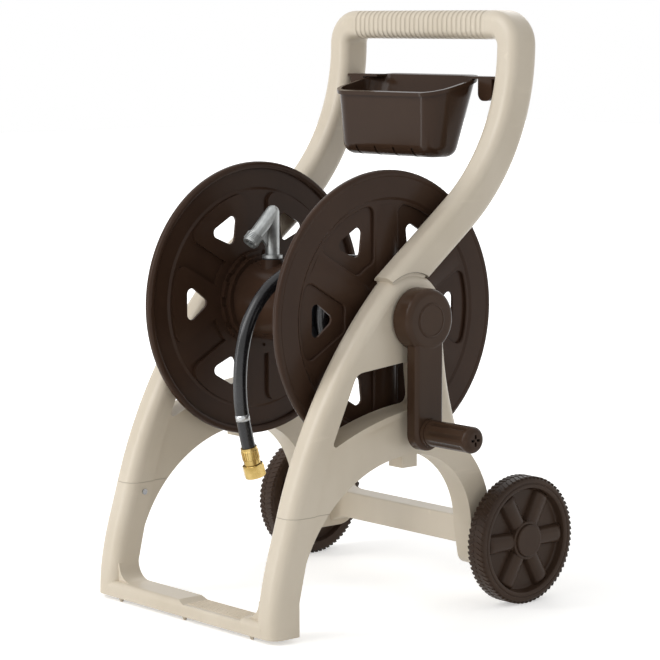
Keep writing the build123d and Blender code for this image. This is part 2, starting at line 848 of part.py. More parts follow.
with BuildPart() as inlet_swivel:
    with BuildSketch(side_plane(-inlet_face + inlet_insert)) as spigot:
        Circle(inlet_r)
    extrude(spigot.sketch, amount=-inlet_insert)
    with BuildSketch(side_plane(-inlet_face)) as elbow:
        Circle(inlet_body_r)
    extrude(elbow.sketch, amount=-inlet_body_length)
    fillet(edges().filter_by(GeomType.CIRCLE).sort_by(Axis.X)[0], radius=web_round)
    with BuildSketch(Plane(at(inlet_x, 0, -inlet_drop))) as inlet_neck:
        Circle(inlet_neck_r)
    extrude(inlet_neck.sketch, amount=inlet_drop)
    with BuildSketch(Plane(at(inlet_x, 0, -inlet_drop))) as inlet_thread:
        Circle(outlet_thread_r)
    extrude(inlet_thread.sketch, amount=outlet_thread_length)
    with BuildSketch(side_plane(-inlet_face + inlet_insert)) as spigot_bore:
        Circle(water_bore_r)
    extrude(spigot_bore.sketch, amount=-inlet_insert - inlet_body_length / 2, mode=Mode.SUBTRACT)
    with BuildSketch(Plane(at(inlet_x, 0, -inlet_drop))) as inlet_bore:
        Circle(outlet_bore_r)
    extrude(inlet_bore.sketch, amount=inlet_drop + outlet_bore_r, mode=Mode.SUBTRACT)
    for place in seal_places:
        with BuildSketch(side_plane(-place - seal_r - slip)) as groove:
            Circle(inlet_body_r)
            Circle(inlet_r - 2 * seal_r, mode=Mode.SUBTRACT)
        extrude(groove.sketch, amount=2 * (seal_r + slip), mode=Mode.SUBTRACT)
finish(inlet_swivel, "inlet_swivel")

with BuildPart() as swivel_seals:
    for place in seal_places:
        with Locations(side_plane(-place).location):
            Torus(inlet_r - seal_r, seal_r)
finish(swivel_seals, "swivel_seals")

# Crank: a hub disc and an arm that hangs down, with a free-turning grip on a headed pin
grip_place = (0, -crank_radius)
bolt_seat = crank_face - crank_cap_depth - crank_bolt_head

with BuildPart() as crank_arm:
    with BuildSketch(side_plane(crank_arm_inner)) as arm:
        with Locations((0, -crank_radius / 2)):
            SlotCenterToCenter(crank_radius, crank_arm_w, rotation=90)
    extrude(arm.sketch, amount=crank_arm_t)
    fillet(faces().sort_by(Axis.X)[-1].edges(), radius=crank_round)
    with BuildSketch(cross_plane(0, 0, 0)) as hub:
        with Locations((crank_inner + crank_depth / 2, crank_hub_r / 2)):
            Rectangle(crank_depth, crank_hub_r)
        fillet(vertices().sort_by_distance(Vector(crank_face, crank_hub_r))[0], radius=crank_hub_round)
    revolve(hub.sketch, axis=reel_line)
    with BuildSketch(side_plane(crank_face - crank_cap_depth)) as pocket:
        Circle(crank_cap_r + slip)
    extrude(pocket.sketch, amount=crank_cap_depth, mode=Mode.SUBTRACT)
    with BuildSketch(side_plane(bolt_seat)) as bolt_room:
        Circle(crank_bolt_head_r + slip)
    extrude(bolt_room.sketch, amount=crank_bolt_head, mode=Mode.SUBTRACT)
    with BuildSketch(side_plane(crank_inner)) as holes:
        Circle(crank_bolt_r + slip)
        with Locations(grip_place):
            Circle(grip_pin_r + slip)
    extrude(holes.sketch, amount=crank_depth, mode=Mode.SUBTRACT)
    with BuildSketch(side_plane(crank_inner)) as drive_socket:
        Rectangle(drive_square + 2 * slip, drive_square + 2 * slip)
    extrude(drive_socket.sketch, amount=drive_length + slip, mode=Mode.SUBTRACT)
    with BuildSketch(side_plane(crank_arm_inner)) as head_room:
        with Locations(grip_place):
            Circle(grip_head_r + slip)
    extrude(head_room.sketch, amount=grip_head, mode=Mode.SUBTRACT)
finish(crank_arm, "crank_arm")

with BuildPart() as crank_bolt:
    with BuildSketch(side_plane(bolt_seat)) as head:
        Circle(crank_bolt_head_r)
    extrude(head.sketch, amount=crank_bolt_head - slip)
    with BuildSketch(side_plane(crank_inner + drive_length - crank_bolt_length + loose)) as shank:
        Circle(crank_bolt_r)
    extrude(shank.sketch, until=Until.NEXT)
finish(crank_bolt, "crank_bolt")

with BuildPart() as crank_cap:
    with BuildSketch(side_plane(crank_face - crank_cap_depth)) as disc:
        Circle(crank_cap_r)
    extrude(disc.sketch, amount=crank_cap_depth + 1)
    fillet(faces().sort_by(Axis.X)[-1].edges(), radius=1)
finish(crank_cap, "crank_cap")

cavity_end = grip_end - grip_end_wall
pin_end = cavity_end - grip_cavity + loose + retainer_width

with BuildPart() as crank_grip:
    with BuildSketch(side_plane(grip_start)) as handgrip:
        with Locations(grip_place):
            Circle(grip_r)
    extrude(handgrip.sketch, amount=grip_length)
    fillet(faces().sort_by(Axis.X)[-1].edges(), radius=grip_end_round)
    ring(1, grip_start, grip_collar, grip_collar_r, grip_r - web_round, grip_place)
    with BuildSketch(side_plane(grip_start)) as pin_bore:
        with Locations(grip_place):
            Circle(grip_pin_r + running)
    extrude(pin_bore.sketch, amount=cavity_end - grip_start, mode=Mode.SUBTRACT)
    with BuildSketch(side_plane(cavity_end - grip_cavity)) as cavity:
        with Locations(grip_place):
            Circle(grip_cavity_r)
    extrude(cavity.sketch, amount=grip_cavity, mode=Mode.SUBTRACT)
    with BuildSketch(side_plane(cavity_end - slip)) as slots:
        with Locations(grip_place):
            with PolarLocations(grip_slot_r, 4):
                SlotOverall(grip_slot_length, grip_slot)
    extrude(slots.sketch, amount=2 * grip_end_wall, mode=Mode.SUBTRACT)
finish(crank_grip, "crank_grip")

with BuildPart() as grip_pin:
    with BuildSketch(side_plane(crank_arm_inner)) as pin_head:
        with Locations(grip_place):
            Circle(grip_head_r)
    extrude(pin_head.sketch, amount=grip_head)
    with BuildSketch(side_plane(crank_arm_inner)) as pin:
        with Locations(grip_place):
            Circle(grip_pin_r)
    extrude(pin.sketch, amount=pin_end - crank_arm_inner)
finish(grip_pin, "grip_pin")

with BuildPart() as grip_retainer:
    ring(1, pin_end - retainer_width, retainer_width, retainer_r, grip_pin_r + slip, grip_place)
finish(grip_retainer, "grip_retainer")

# Basket: a tapered tub with a sloping rolled rim, drain slots and a hook at each end
rim_tilt = (basket_rim_back - basket_rim_front) / (basket_back - basket_front)
rim_normal = Vector(0, -rim_tilt, 1).normalized()
rim_plane = Plane(at(0, basket_front, basket_rim_front), x_dir=(1, 0, 0), z_dir=rim_normal)
tub_top = basket_rim_back + basket_lip
grow_front = (tub_top - basket_floor) / (basket_rim_front - basket_floor)
grow_back = (tub_top - basket_floor) / (basket_rim_back - basket_floor)
tub_front = basket_bottom_front + (basket_front - basket_bottom_front) * grow_front
tub_back = basket_bottom_back + (basket_back - basket_bottom_back) * grow_back
peg_top = peg_rise + peg_r + loose


# Floor and mouth of the tub, drawn in by the given wall
def tub_ends(wall):
    floor_y = (basket_bottom_front + basket_bottom_back) / 2
    floor_w = basket_w - 2 * basket_taper - 2 * wall
    floor_depth = basket_bottom_back - basket_bottom_front - 2 * wall
    with BuildSketch(Plane(at(0, floor_y, basket_floor + wall))) as tub_floor:
        RectangleRounded(floor_w, floor_depth, basket_floor_corner - wall)
    with BuildSketch(Plane(at(0, (tub_front + tub_back) / 2, tub_top))) as tub_mouth:
        RectangleRounded(basket_w - 2 * wall, tub_back - tub_front - 2 * wall, basket_corner - wall)
    return [tub_floor.sketch, tub_mouth.sketch]


with BuildPart() as tub_room:
    loft(tub_ends(basket_wall))
    fillet(faces().sort_by(Axis.Z)[0].edges(), radius=basket_floor_round - basket_wall)

with BuildPart() as rim_band:
    loft(tub_ends(-basket_lip))
    split(bisect_by=rim_plane, keep=Keep.BOTTOM)
    split(bisect_by=rim_plane.offset(-basket_lip_drop), keep=Keep.TOP)

with BuildPart() as basket:
    loft(tub_ends(0))
    fillet(faces().sort_by(Axis.Z)[0].edges(), radius=basket_floor_round)
    split(bisect_by=rim_plane, keep=Keep.BOTTOM)
    add(rim_band.part)
    add(tub_room.part, mode=Mode.SUBTRACT)
    with BuildSketch(Plane(at(0, basket_bottom_front, basket_floor - basket_wall))) as slots:
        with GridLocations(basket_slot_pitch, 1, basket_slots, 1):
            SlotOverall(2 * basket_slot_length, basket_slot_w, rotation=90)
    extrude(slots.sketch, amount=basket_wall + basket_slot_rise, mode=Mode.SUBTRACT)
    for sign in sides.values():
        plate_length = arm_x - handle_w / 2 - 2 * loose - hook_start
        with BuildSketch(Plane(at(sign * (hook_start + plate_length / 2), peg_back, peg_top))) as hook_plate:
            Rectangle(plate_length, hook_width)
        extrude(hook_plate.sketch, amount=hook_wall)
        tab = hook_width / 2 - peg_r - loose
        for level in (-1, 1):
            tab_y = peg_back + level * (hook_width - tab) / 2
            tab_x = sign * (hook_tab_start + hook_tab_end) / 2
            with BuildSketch(cross_plane(tab_x, tab_y, peg_top - hook_drop / 2)) as hook_tab:
                Rectangle(hook_tab_end - hook_tab_start, hook_drop)
                fillet(vertices().group_by(Axis.Y)[0], radius=hook_round)
            extrude(hook_tab.sketch, amount=tab / 2, both=True)
finish(basket, "basket")

with BuildPart() as basket_pegs:
    for sign in sides.values():
        with BuildSketch(side_plane(sign * (arm_x - handle_w / 2))) as peg:
            with Locations((peg_back, peg_rise)):
                Circle(peg_r)
        extrude(peg.sketch, amount=-sign * peg_length)
finish(basket_pegs, "basket_pegs")

# Leader hose: turns round the drum, then a free end that hangs in front of it
coil_r = drum_r + turn_gap + hose_r
first_angle = leave_angle - 360 * turns
knot_count = 4 * ceil(turns) + 1
knot_angles = [first_angle + 360 * turns * knot / (knot_count - 1) for knot in range(knot_count)]


def coil_point(angle):
    return at(leave_x + turn_pitch * (leave_angle - angle) / 360, *polar(coil_r, angle))


def coil_heading(angle):
    return Vector(-turn_pitch / (2 * pi), *polar(coil_r, angle + 90)).normalized()


# Two arcs that leave p along t and reach q along u
def twin_arc(p, t, q, u):
    v = q - p
    lean = v.dot(t + u)
    sharp = 2 * (1 - t.dot(u))
    d = (sqrt(lean**2 + sharp * v.dot(v)) - lean) / sharp
    joint = (p + q + (t - u) * d) * 0.5
    TangentArc(p, joint, tangent=t)
    TangentArc(joint, q, tangent=(q - u * d) - (p + t * d))


hidden_dir = -coil_heading(first_angle)
hidden_end = coil_point(first_angle) + hidden_dir * hose_end_run
leave_dir = coil_heading(leave_angle)
leave_end = coil_point(leave_angle) + leave_dir * hose_d

with BuildPart() as leader_hose_winding:
    with BuildLine() as coil:
        Line(hidden_end, coil_point(first_angle))
        for near, far in zip(knot_angles, knot_angles[1:]):
            twin_arc(coil_point(near), coil_heading(near), coil_point(far), coil_heading(far))
        Line(coil_point(leave_angle), leave_end)
    with BuildSketch(Plane(hidden_end, z_dir=-hidden_dir)):
        Circle(hose_r)
    sweep(path=coil.wires()[0])
finish(leader_hose_winding, "leader_hose_winding")

coil_length = coil.wires()[0].length
samples = [coil.wires()[0].position_at(step / 600) for step in range(601)]
apart = int(600 * 2 * hose_d / coil_length)
least = min((a - b).length for i, a in enumerate(samples) for b in samples[i + apart :])
print(f"winding gap {least - hose_d:.2f}, coil radius {coil_r:.1f}, length {coil_length:.1f}")
print(f"winding volume ratio {leader_hose_winding.part.volume / (pi * hose_r**2 * coil_length):.4f}")

tail_points = [leave_end, leave_end + leave_dir * tail_lead] + [at(*place) for place in tail_route]
tail_runs = [b - a for a, b in zip(tail_points, tail_points[1:])]
tail_bends = []
for before, after in zip(tail_runs, tail_runs[1:]):
    half_turn = radians(before.get_angle(after)) / 2
    tail_bends.append(0.45 * min(before.length, after.length) / tan(half_turn))
print("tail bend radii", [round(bend) for bend in tail_bends])

with BuildPart() as leader_hose_tail:
    with BuildLine() as hang:
        FilletPolyline(*tail_points, radius=tail_bends)
    with BuildSketch(Plane(leave_end, z_dir=leave_dir)):
        Circle(hose_r)
    sweep(path=hang.wires()[0])
finish(leader_hose_tail, "leader_hose_tail")

tail_length = hang.wires()[0].length
print(f"tail volume ratio {leader_hose_tail.part.volume / (pi * hose_r**2 * tail_length):.4f}")
print(f"hose length {coil_length + tail_length:.0f}")

# Brass end of the hose: a sleeve with a flanged neck, and a nut that turns on the neck
tail_end = tail_points[-1]
tail_dir = tail_runs[-1].normalized()
end_plane = Plane(tail_end, z_dir=tail_dir)
nut_start = ferrule_plate + loose
flange_start = nut_start + nut_lip + loose
washer_start = flange_start + tail_flange
thread_start = washer_start + tail_flange + loose


# A round length along the hose's end, from one distance beyond the end to another
def sleeve(plane, start, stop, r, mode=Mode.ADD):
    with BuildSketch(plane.offset(start)) as face:
        Circle(r)
    extrude(face.sketch, amount=stop - start, mode=mode)


with BuildPart() as hose_ferrule:
    sleeve(end_plane, -ferrule_length, ferrule_plate, ferrule_r)
    sleeve(end_plane, -ferrule_length, 0, hose_r + slip, Mode.SUBTRACT)
    sleeve(end_plane, ferrule_plate, washer_start, neck_r)
    sleeve(end_plane, flange_start, washer_start, nut_bore_r - 2 * loose)
    sleeve(end_plane, 0, washer_start, hose_bore_r, Mode.SUBTRACT)
finish(hose_ferrule, "hose_ferrule")

with BuildPart() as coupling_nut:
    sleeve(end_plane, nut_start, nut_start + nut_length, nut_flats / sqrt(3))
    chamfer(edges().filter_by(GeomType.CIRCLE), length=nut_chamfer)
    with BuildSketch(end_plane.offset(nut_start)) as hexagon:
        RegularPolygon(nut_flats / 2, 6, major_radius=False)
    extrude(hexagon.sketch, amount=nut_length, mode=Mode.INTERSECT)
    sleeve(end_plane, nut_start, nut_start + nut_length, neck_r + running, Mode.SUBTRACT)
    sleeve(end_plane, nut_start + nut_lip, thread_start, nut_bore_r + loose, Mode.SUBTRACT)
    sleeve(end_plane, thread_start, nut_start + nut_length, nut_bore_r, Mode.SUBTRACT)
finish(coupling_nut, "coupling_nut")

with BuildPart() as coupling_washer:
    sleeve(end_plane, washer_start, washer_start + tail_flange, nut_bore_r - 2 * loose)
    sleeve(end_plane, washer_start, washer_start + tail_flange, washer_bore_r, Mode.SUBTRACT)
finish(coupling_washer, "coupling_washer")

hidden_plane = Plane(hidden_end, z_dir=hidden_dir)

with BuildPart() as hose_end_fitting:
    sleeve(hidden_plane, -end_fitting_sleeve, ferrule_plate, ferrule_r)
    sleeve(hidden_plane, -end_fitting_sleeve, 0, hose_r + slip, Mode.SUBTRACT)
    sleeve(hidden_plane, ferrule_plate, ferrule_plate + end_fitting_thread, outlet_thread_r)
    sleeve(hidden_plane, 0, ferrule_plate + end_fitting_thread, hose_bore_r, Mode.SUBTRACT)
finish(hose_end_fitting, "hose_end_fitting")


# A screw on each side, with its head towards the middle
def screws(face, place):
    for sign in sides.values():
        with BuildSketch(side_plane(sign * face)) as head:
            with Locations(place):
                Circle(screw_head_r)
        extrude(head.sketch, amount=-sign * screw_head)
        with BuildSketch(side_plane(sign * (face - slip))) as shank:
            with Locations(place):
                Circle(screw_r)
        extrude(shank.sketch, amount=sign * (frame_inner + screw_length - face + slip))


with BuildPart() as handle_screws:
    screws(arm_x - handle_w / 2, neck_screw)
finish(handle_screws, "handle_screws")

with BuildPart() as foot_screws:
    screws(frame_inner, foot_screw)
finish(foot_screws, "foot_screws")
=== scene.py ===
import json
from math import atan2, cos, pi, radians, sin, tau

import bmesh
import bpy
from mathutils import Matrix, Vector


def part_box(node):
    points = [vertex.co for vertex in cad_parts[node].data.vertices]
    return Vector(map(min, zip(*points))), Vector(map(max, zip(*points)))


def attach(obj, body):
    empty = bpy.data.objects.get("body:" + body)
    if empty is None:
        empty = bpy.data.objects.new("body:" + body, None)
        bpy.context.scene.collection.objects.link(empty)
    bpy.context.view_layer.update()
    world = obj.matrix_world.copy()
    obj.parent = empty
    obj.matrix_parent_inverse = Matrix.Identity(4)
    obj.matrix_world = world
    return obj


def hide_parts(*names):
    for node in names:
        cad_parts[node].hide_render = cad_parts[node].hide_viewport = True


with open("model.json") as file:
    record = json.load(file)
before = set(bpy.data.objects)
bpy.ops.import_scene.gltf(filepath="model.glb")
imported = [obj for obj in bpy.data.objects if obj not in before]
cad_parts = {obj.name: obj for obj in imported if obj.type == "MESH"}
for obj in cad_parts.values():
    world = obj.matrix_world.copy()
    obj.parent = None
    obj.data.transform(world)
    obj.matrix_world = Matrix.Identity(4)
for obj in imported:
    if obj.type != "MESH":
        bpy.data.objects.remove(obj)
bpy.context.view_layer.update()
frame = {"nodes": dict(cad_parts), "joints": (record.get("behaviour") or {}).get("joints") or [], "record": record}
nodes = frame["nodes"]
joints = {joint["name"]: joint for joint in frame["joints"]}
reelCentre = Vector(joints["reel_spin"]["pos_m"])
axleCentre = Vector(joints["wheel_right_spin"]["pos_m"])
scene = bpy.context.scene
scene.view_settings.view_transform = "Standard"
print("frame loaded,", len(nodes), "nodes")


# a point given in millimetres from the reel's axis at the middle of the cart
def spot(x, y, z):
    return reelCentre + Vector((x, y, z)) / 1000


def linear(red, green, blue):
    def lift(level):
        level /= 255
        return level / 12.92 if level <= 0.04045 else ((level + 0.055) / 1.055) ** 2.4
    return (lift(red), lift(green), lift(blue), 1)


# camera at the photograph's angle
view = {
    "azimuth": 48.777, "elevation": 7.032, "distance": 3.8858, "target": (25.1, 1.9, -35.9),
    "lens": 136.3, "sensor": 36, "far": 50,
}


def makeCamera():
    turn, tilt = radians(view["azimuth"]), radians(view["elevation"])
    back = Vector((sin(turn) * cos(tilt), -cos(turn) * cos(tilt), sin(tilt)))
    lens = bpy.data.cameras.new("camera")
    lens.lens = view["lens"]
    lens.sensor_width = view["sensor"]
    lens.clip_end = view["far"]
    camera = bpy.data.objects.new("camera", lens)
    camera.rotation_mode = "QUATERNION"
    camera.location = spot(*view["target"]) + back * view["distance"]
    camera.rotation_quaternion = (-back).to_track_quat("-Z", "Y")
    scene.collection.objects.link(camera)
    scene.camera = camera


makeCamera()
print("camera set")


# a number that varies over a surface; sums and products of it become Math nodes
class Level:
    def __init__(self, finish, socket):
        self.finish = finish
        self.socket = socket

    def join(self, operation, left, right):
        node = self.finish.add("ShaderNodeMath", {"operation": operation}, {0: left, 1: right})
        return Level(self.finish, node.outputs[0])

    def __add__(self, other):
        return self.join("ADD", self, other)

    def __radd__(self, other):
        return self.join("ADD", other, self)

    def __sub__(self, other):
        return self.join("SUBTRACT", self, other)

    def __rsub__(self, other):
        return self.join("SUBTRACT", other, self)

    def __mul__(self, other):
        return self.join("MULTIPLY", self, other)

    def __rmul__(self, other):
        return self.join("MULTIPLY", other, self)

    def __pow__(self, other):
        return self.join("POWER", self, other)

    def __rpow__(self, other):
        return self.join("POWER", other, self)

    def __gt__(self, other):
        return self.join("GREATER_THAN", self, other)

    def __lt__(self, other):
        return self.join("LESS_THAN", self, other)

    def __abs__(self):
        return self.join("ABSOLUTE", self, 0)

    def sine(self):
        return self.join("SINE", self, 0)

    def angle(self, other):
        return self.join("ARCTAN2", self, other)


class Finish:
    def __init__(self, name, **constants):
        self.material = bpy.data.materials.new(name)
        self.material.use_nodes = True
        self.tree = self.material.node_tree
        self.shader = self.tree.nodes["Principled BSDF"]
        for socket, value in constants.items():
            self.shader.inputs[socket.replace("_", " ")].default_value = value
        self.where = self.add("ShaderNodeTexCoord").outputs["Object"]

    # the one way in for every node: its type, its settings, then its sockets
    def add(self, kind, settings=None, sockets=None):
        node = self.tree.nodes.new(kind)
        for key, value in (settings or {}).items():
            setattr(node, key, value)
        for key, value in (sockets or {}).items():
            self.feed(node.inputs[key], value)
        return node

    def feed(self, socket, value):
        if isinstance(value, Level):
            self.tree.links.new(value.socket, socket)
        elif isinstance(value, bpy.types.NodeSocket):
            self.tree.links.new(value, socket)
        else:
            socket.default_value = value

    def axes(self):
        split = self.add("ShaderNodeSeparateXYZ", sockets={"Vector": self.where})
        return [Level(self, split.outputs[axis]) for axis in "XYZ"]

    def noise(self, scale, detail=2.0, stretch=None):
        where = self.where
        if stretch:
            where = self.add("ShaderNodeMapping", sockets={"Vector": where, "Scale": stretch}).outputs[0]
        node = self.add("ShaderNodeTexNoise", sockets={"Vector": where, "Scale": scale, "Detail": detail})
        return Level(self, node.outputs["Fac"])

    def cells(self, scale):
        node = self.add("ShaderNodeTexVoronoi", sockets={"Vector": self.where, "Scale": scale})
        return Level(self, node.outputs["Distance"])

    def smooth(self, level, low, high):
        node = self.add("ShaderNodeMapRange", {"interpolation_type": "SMOOTHSTEP"},
                        {"Value": level, "From Min": low, "From Max": high})
        return Level(self, node.outputs["Result"])

    def mix(self, share, first, second):
        node = self.add("ShaderNodeMix", {"data_type": "RGBA"}, {0: share, 6: first, 7: second})
        return node.outputs[2]

    def bump(self, height, distance):
        node = self.add("ShaderNodeBump", sockets={"Height": height, "Distance": distance, "Strength": 1.0})
        self.feed(self.shader.inputs["Normal"], node.outputs["Normal"])

    def coat(self, colour, roughness):
        self.feed(self.shader.inputs["Base Color"], colour)
        self.feed(self.shader.inputs["Roughness"], roughness)


# moulded plastics: a cloudy colour, a fine grain and a few faint scuffs
plastics = {
    "beige": {"pale": (216, 205, 187), "deep": (206, 194, 174),
        "rough": 0.36, "grain": 900, "depth": 0.00008, "scuff": 0.3},
    "reelBrown": {"pale": (66, 48, 37), "deep": (56, 40, 31),
        "rough": 0.24, "gloss": 0.12, "grain": 700, "depth": 0.00006},
    "basketBrown": {"pale": (63, 46, 35), "deep": (55, 39, 29),
        "rough": 0.18, "gloss": 0.14, "grain": 600, "depth": 0.00004},
    "crankBrown": {"pale": (71, 53, 41), "deep": (61, 45, 34),
        "rough": 0.23, "gloss": 0.13, "grain": 700, "depth": 0.00006},
    "wheelBrown": {"pale": (71, 55, 44), "deep": (60, 46, 37),
        "rough": 0.32, "gloss": 0.14, "grain": 800, "depth": 0.00009},
    "bearingWhite": {"pale": (222, 220, 212), "deep": (208, 206, 198),
        "rough": 0.40, "grain": 700, "depth": 0.00005},
    "tubeGrey": {"pale": (70, 70, 72), "deep": (58, 58, 60),
        "rough": 0.42, "grain": 700, "depth": 0.00005},
}


def mouldedPlastic(name, look, detail=None):
    finish = Finish(name, IOR=1.49, Specular_IOR_Level=look.get("gloss", 0.5))
    cloud = finish.noise(5, 4)
    grain = finish.noise(look["grain"], 2)
    flow = finish.noise(14, 3, stretch=(1, 1, 0.25))
    scuff = finish.smooth(finish.noise(60, 5, stretch=(1, 0.12, 1)), 0.62, 0.80)
    tone = finish.smooth(cloud * 0.65 + flow * 0.35, 0.30, 0.70)
    colour = finish.mix(tone, linear(*look["deep"]), linear(*look["pale"]))
    worn = [min(255, level * 1.07 + 4) for level in look["pale"]]
    colour = finish.mix(scuff * look.get("scuff", 0.06), colour, linear(*worn))
    roughness = look["rough"] + (grain - 0.5) * 0.10 + scuff * 0.03 + (cloud - 0.5) * 0.08
    height, depth = grain, look["depth"]
    if detail:
        relief, depth, seamDarkAndPaintedShade = detail(finish)
        height = grain * (look["depth"] / depth) + relief
        # darkened toward a deep brown: dark seam lines, and painted shade in the hollows of ribs and flutes
        colour = finish.mix(seamDarkAndPaintedShade, colour, linear(*[level * 0.35 for level in look["deep"]]))
    finish.bump(height, depth)
    finish.coat(colour, roughness)
    return finish.material


# moulded detail: each function gives its relief from 0 to 1, how deep that is, and how dark it is painted: seam
# lines in their own dark colour, rib and flute hollows with painted shade
handleBar = {"half": 0.155, "pitch": 0.0107, "thick": 0.046, "dark": 0.14}
seams = {"width": 0.0006, "soft": 0.0004, "hub": 0.0682, "dark": 0.7, "legDark": 0.22}
gripFlutes = {"count": 8, "depth": 0.0012, "margin": 0.009, "crest": 0.6, "relief": 0.0001, "dark": 0.3}
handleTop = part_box("handle")[1].z
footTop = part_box("front_foot")[1].z
gripCentre = Vector(joints["grip_spin"]["pos_m"])
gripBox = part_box("crank_grip")


def handleDetail(finish):
    x, y, z = finish.axes()
    reach = finish.smooth(handleBar["half"] - abs(x - reelCentre.x), 0, handleBar["pitch"] * 0.5)
    reach = reach * (z > handleTop - handleBar["thick"])
    wave = finish.smooth((x * (tau / handleBar["pitch"])).sine() * 0.5 + 0.5, 0.1, 0.75)
    away = ((y - reelCentre.y) ** 2 + (z - reelCentre.z) ** 2) ** 0.5 - seams["hub"]
    seam = finish.smooth(seams["width"] - away, 0, seams["soft"])
    # painted shade in the grooves between the ribs, added to the dark seam line round the hub
    return 1 - seam, seams["width"], (1 - wave) * reach * handleBar["dark"] + seam * seams["dark"]


def legDetail(finish):
    _, y, z = finish.axes()
    seam = finish.smooth(seams["width"] - abs(z - footTop), 0, seams["soft"]) * (y < reelCentre.y)
    return 1 - seam, seams["width"], seam * seams["legDark"]


def gripDetail(finish):
    x, y, z = finish.axes()
    turn = (z - gripCentre.z).angle(y - gripCentre.y)
    reach = finish.smooth(x - gripBox[0].x, gripFlutes["margin"], gripFlutes["margin"] * 2)
    reach = reach * finish.smooth(gripBox[1].x - x, gripFlutes["margin"], gripFlutes["margin"] * 2)
    wave = finish.smooth((turn * gripFlutes["count"]).sine() * 0.5 + 0.5, 0.0, gripFlutes["crest"])
    hollow = (1 - wave) * reach
    # the hollows are pressed in as relief and also darkened with painted shade
    return 1 - hollow, gripFlutes["relief"], hollow * gripFlutes["dark"]


def castMetal(name):
    finish = Finish(name, IOR=1.5)
    pit = finish.cells(420)
    cloud = finish.noise(30, 4)
    colour = finish.mix(finish.smooth(cloud, 0.3, 0.7), linear(158, 161, 161), linear(190, 193, 192))
    finish.feed(finish.shader.inputs["Metallic"], 0.72 + cloud * 0.2)
    finish.bump(finish.noise(500, 3) * 0.7 + pit * 0.3, 0.00016)
    finish.coat(colour, 0.42 + (cloud - 0.5) * 0.16)
    return finish.material


def machinedBrass(name):
    finish = Finish(name, Metallic=1.0)
    cloud = finish.noise(60, 4)
    lines = finish.noise(900, 2, stretch=(0.05, 0.05, 1))
    colour = finish.mix(finish.smooth(cloud, 0.3, 0.75), linear(178, 150, 88), linear(212, 186, 124))
    finish.bump(lines, 0.00005)
    finish.coat(colour, 0.24 + (cloud - 0.5) * 0.16 + (lines - 0.5) * 0.08)
    return finish.material


def platedSteel(name):
    finish = Finish(name, Metallic=1.0)
    cloud = finish.noise(90, 3)
    colour = finish.mix(cloud, linear(164, 166, 170), linear(202, 203, 205))
    finish.bump(finish.noise(1200, 2, stretch=(0.1, 1, 1)), 0.00003)
    finish.coat(colour, 0.26 + (cloud - 0.5) * 0.18)
    return finish.material


def softRubber(name, pale, deep, rough):
    finish = Finish(name, IOR=1.5)
    cloud = finish.noise(40, 4)
    grain = finish.noise(1100, 2)
    colour = finish.mix(finish.smooth(cloud, 0.3, 0.7), linear(*deep), linear(*pale))
    finish.bump(grain, 0.00006)
    finish.coat(colour, rough + (grain - 0.5) * 0.12 + (cloud - 0.5) * 0.1)
    return finish.material


def printedBand(name):
    finish = Finish(name, IOR=1.5, Metallic=0.75)
    cloud = finish.noise(120, 4)
    colour = finish.mix(finish.smooth(cloud, 0.35, 0.7), linear(176, 178, 180), linear(208, 210, 211))
    finish.bump(finish.noise(900, 2), 0.00004)
    finish.coat(colour, 0.26 + (cloud - 0.5) * 0.16)
    return finish.material


materials = {name: mouldedPlastic(name, look) for name, look in plastics.items()}
materials["beigeHandle"] = mouldedPlastic("beigeHandle", plastics["beige"], handleDetail)
materials["beigeLeg"] = mouldedPlastic("beigeLeg", plastics["beige"], legDetail)
materials["gripBrown"] = mouldedPlastic("gripBrown", plastics["crankBrown"], gripDetail)
materials["castMetal"] = castMetal("castMetal")
materials["brass"] = machinedBrass("brass")
materials["steel"] = platedSteel("steel")
materials["hoseBlack"] = softRubber("hoseBlack", (34, 34, 37), (22, 22, 24), 0.24)
materials["sealBlack"] = softRubber("sealBlack", (42, 42, 43), (30, 30, 31), 0.6)
materials["bandSilver"] = printedBand("bandSilver")

coverings = {
    "beige": ["rear_brace"],
    "beigeLeg": ["side_frame_left", "side_frame_right", "front_foot"],
    "beigeHandle": ["handle"],
    "reelBrown": ["reel_flange_left", "reel_flange_right", "reel_drum",
                  "drum_collar_left", "drum_collar_right"],
    "basketBrown": ["basket", "basket_pegs"],
    "crankBrown": ["crank_arm", "crank_cap"],
    "gripBrown": ["crank_grip"],
    "wheelBrown": ["wheel_left", "wheel_right", "wheel_cap_left", "wheel_cap_right"],
    "bearingWhite": ["hub_bush_left", "hub_bush_right", "thrust_washers",
                     "axle_spacers", "trunnion_clip"],
    "tubeGrey": ["water_tube"],
    "castMetal": ["outlet_gooseneck", "inlet_swivel"],
    "sealBlack": ["outlet_gasket", "swivel_seals", "coupling_washer"],
    "hoseBlack": ["leader_hose_winding", "leader_hose_tail"],
    "brass": ["hose_ferrule", "coupling_nut", "hose_end_fitting"],
    "steel": ["axle", "push_nuts", "crank_bolt", "grip_pin", "grip_retainer",
              "handle_screws", "foot_screws"],
}
for finishName, names in coverings.items():
    for node in names:
        nodes[node].data.materials.clear()
        nodes[node].data.materials.append(materials[finishName])
print("materials on", sum(len(names) for names in coverings.values()), "nodes")


def addPiece(name, mesh, body, finishName, slot, *replaced):
    if not mesh.materials:
        mesh.materials.append(materials[finishName])
    piece = bpy.data.objects.new(name, mesh)
    scene.collection.objects.link(piece)
    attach(piece, body)
    if replaced:
        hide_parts(*replaced)
    return piece


# ribs of the handle's bar and flutes of the grip, pressed into copies of their nodes
ribs = {
    "section": (0.0285, 0.0225), "round": 0.016, "depth": 0.0011,
    "profile": ((-0.0021, 0), (-0.0010, 1), (0.0010, 1), (0.0021, 0)),
}
flutePress = {"radius": 0.020, "near": 2e-4, "cuts": 48, "fade": 6}
pressing = {"cut": 1e-7, "sharp": 40}
weld = 1e-6  # corners closer than this are one


